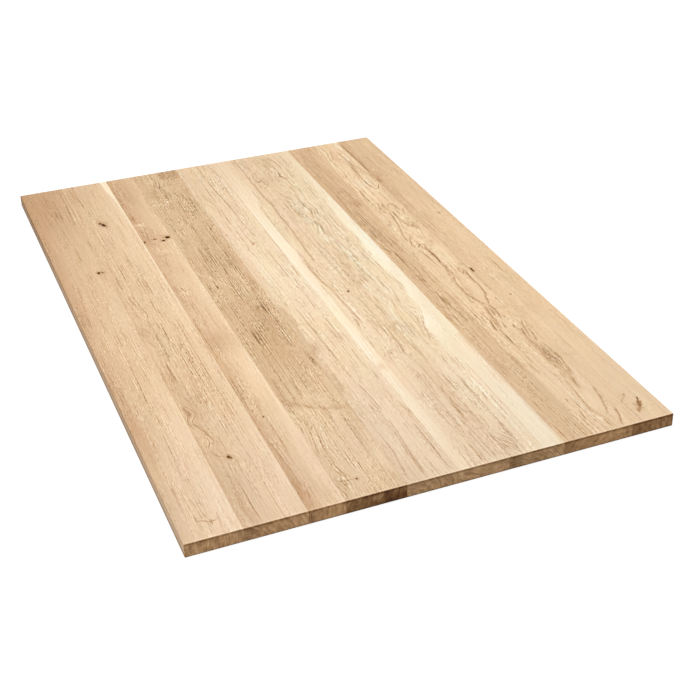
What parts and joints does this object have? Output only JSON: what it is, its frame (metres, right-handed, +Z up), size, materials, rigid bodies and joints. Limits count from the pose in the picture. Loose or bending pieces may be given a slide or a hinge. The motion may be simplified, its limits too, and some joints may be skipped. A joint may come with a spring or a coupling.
{
  "type": "wooden tabletop",
  "caption": "Rectangular solid oak tabletop of full-length staves glued edge to edge, with eased edges, to rest on a table frame or legs.",
  "frame": {"origin": "middle of the underside, the face that rests on a table frame", "axes": "+X across the staves, +Y along the grain (the board's length), +Z up through the thickness"},
  "size_m": [0.9, 1.4, 0.026],
  "materials": {
    "oak_honey": "sanded and oiled, matt",
    "oak_brown": "sanded and oiled, matt",
    "oak_pale": "sanded and oiled, matt",
    "oak_tan": "sanded and oiled, matt"
  },
  "bodies": {
    "root": {"stave_1": "oak_honey", "stave_2": "oak_honey", "stave_3": "oak_honey", "stave_4": "oak_brown", "stave_5": "oak_pale", "stave_6": "oak_pale", "stave_7": "oak_pale", "stave_8": "oak_tan", "stave_9": "oak_tan"}
  },
  "joints": []
}
